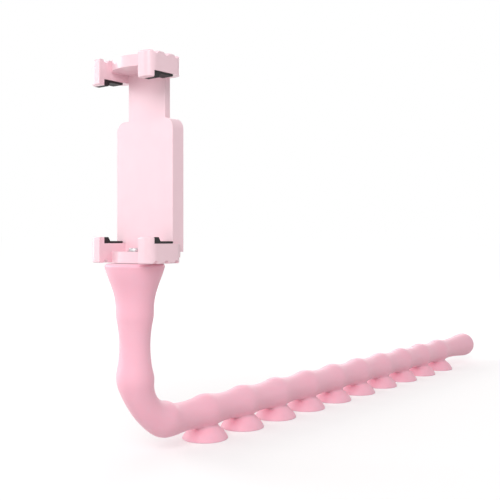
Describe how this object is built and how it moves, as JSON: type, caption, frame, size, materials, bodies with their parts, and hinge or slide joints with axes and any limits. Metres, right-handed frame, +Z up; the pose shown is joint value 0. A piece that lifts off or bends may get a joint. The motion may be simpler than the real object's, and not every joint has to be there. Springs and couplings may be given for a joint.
{
  "type": "flexible phone holder",
  "caption": "Worm-shaped bendable silicone arm with suction cups under its run and a sprung two-jaw phone clamp that swivels on its flared head.",
  "frame": {"origin": "on the surface the cups stand on, under the middle of the object's box", "axes": "+X along the run towards the tail, +Z up, the jaws open towards -X"},
  "size_m": [0.3754, 0.0386, 0.1764],
  "materials": {
    "silicone": "satin",
    "clamp_plastic": "smooth",
    "pad_rubber": "matte",
    "core_aluminium": "drawn",
    "insert_plastic": "moulded",
    "steel": "zinc plated"
  },
  "bodies": {
    "arm": {"silicone_sleeve": "silicone", "core_rod": "core_aluminium", "core_cap": "insert_plastic"},
    "neck_head": {"neck_socket": "insert_plastic", "rod_lock_pin": "steel", "swivel_nut": "steel", "swivel_screw": "steel", "swivel_washer": "steel"},
    "clamp_base": {"clamp_body": "clamp_plastic", "back_cover": "clamp_plastic", "cover_screws": "steel", "lower_pad_left": "pad_rubber", "lower_pad_right": "pad_rubber", "lower_spring_pin": "steel", "spring_left": "steel", "spring_right": "steel"},
    "moving_jaw": {"upper_jaw": "clamp_plastic", "upper_pad_left": "pad_rubber", "upper_pad_right": "pad_rubber", "upper_spring_pin": "steel"}
  },
  "joints": [
    {"name": "arm_bend", "type": "hinge", "parent": "arm", "child": "neck_head", "pos_m": [-0.16502, 0, 0.0224], "axis": [0, 1, 0], "range_deg": [-60, 45], "deforming": ["silicone_sleeve", "core_rod"]},
    {"name": "clamp_swivel", "type": "hinge", "parent": "neck_head", "child": "clamp_base", "pos_m": [-0.17433, 0, 0.0863], "axis": [0, 0, 1], "continuous": true},
    {"name": "jaw_slide", "type": "slide", "parent": "clamp_base", "child": "moving_jaw", "axis": [0, 0, 1], "range_m": [-0.015, 0.019], "stiffness_N_per_m": 100, "springref_m": -0.05, "deforming": ["spring_left", "spring_right"]}
  ]
}
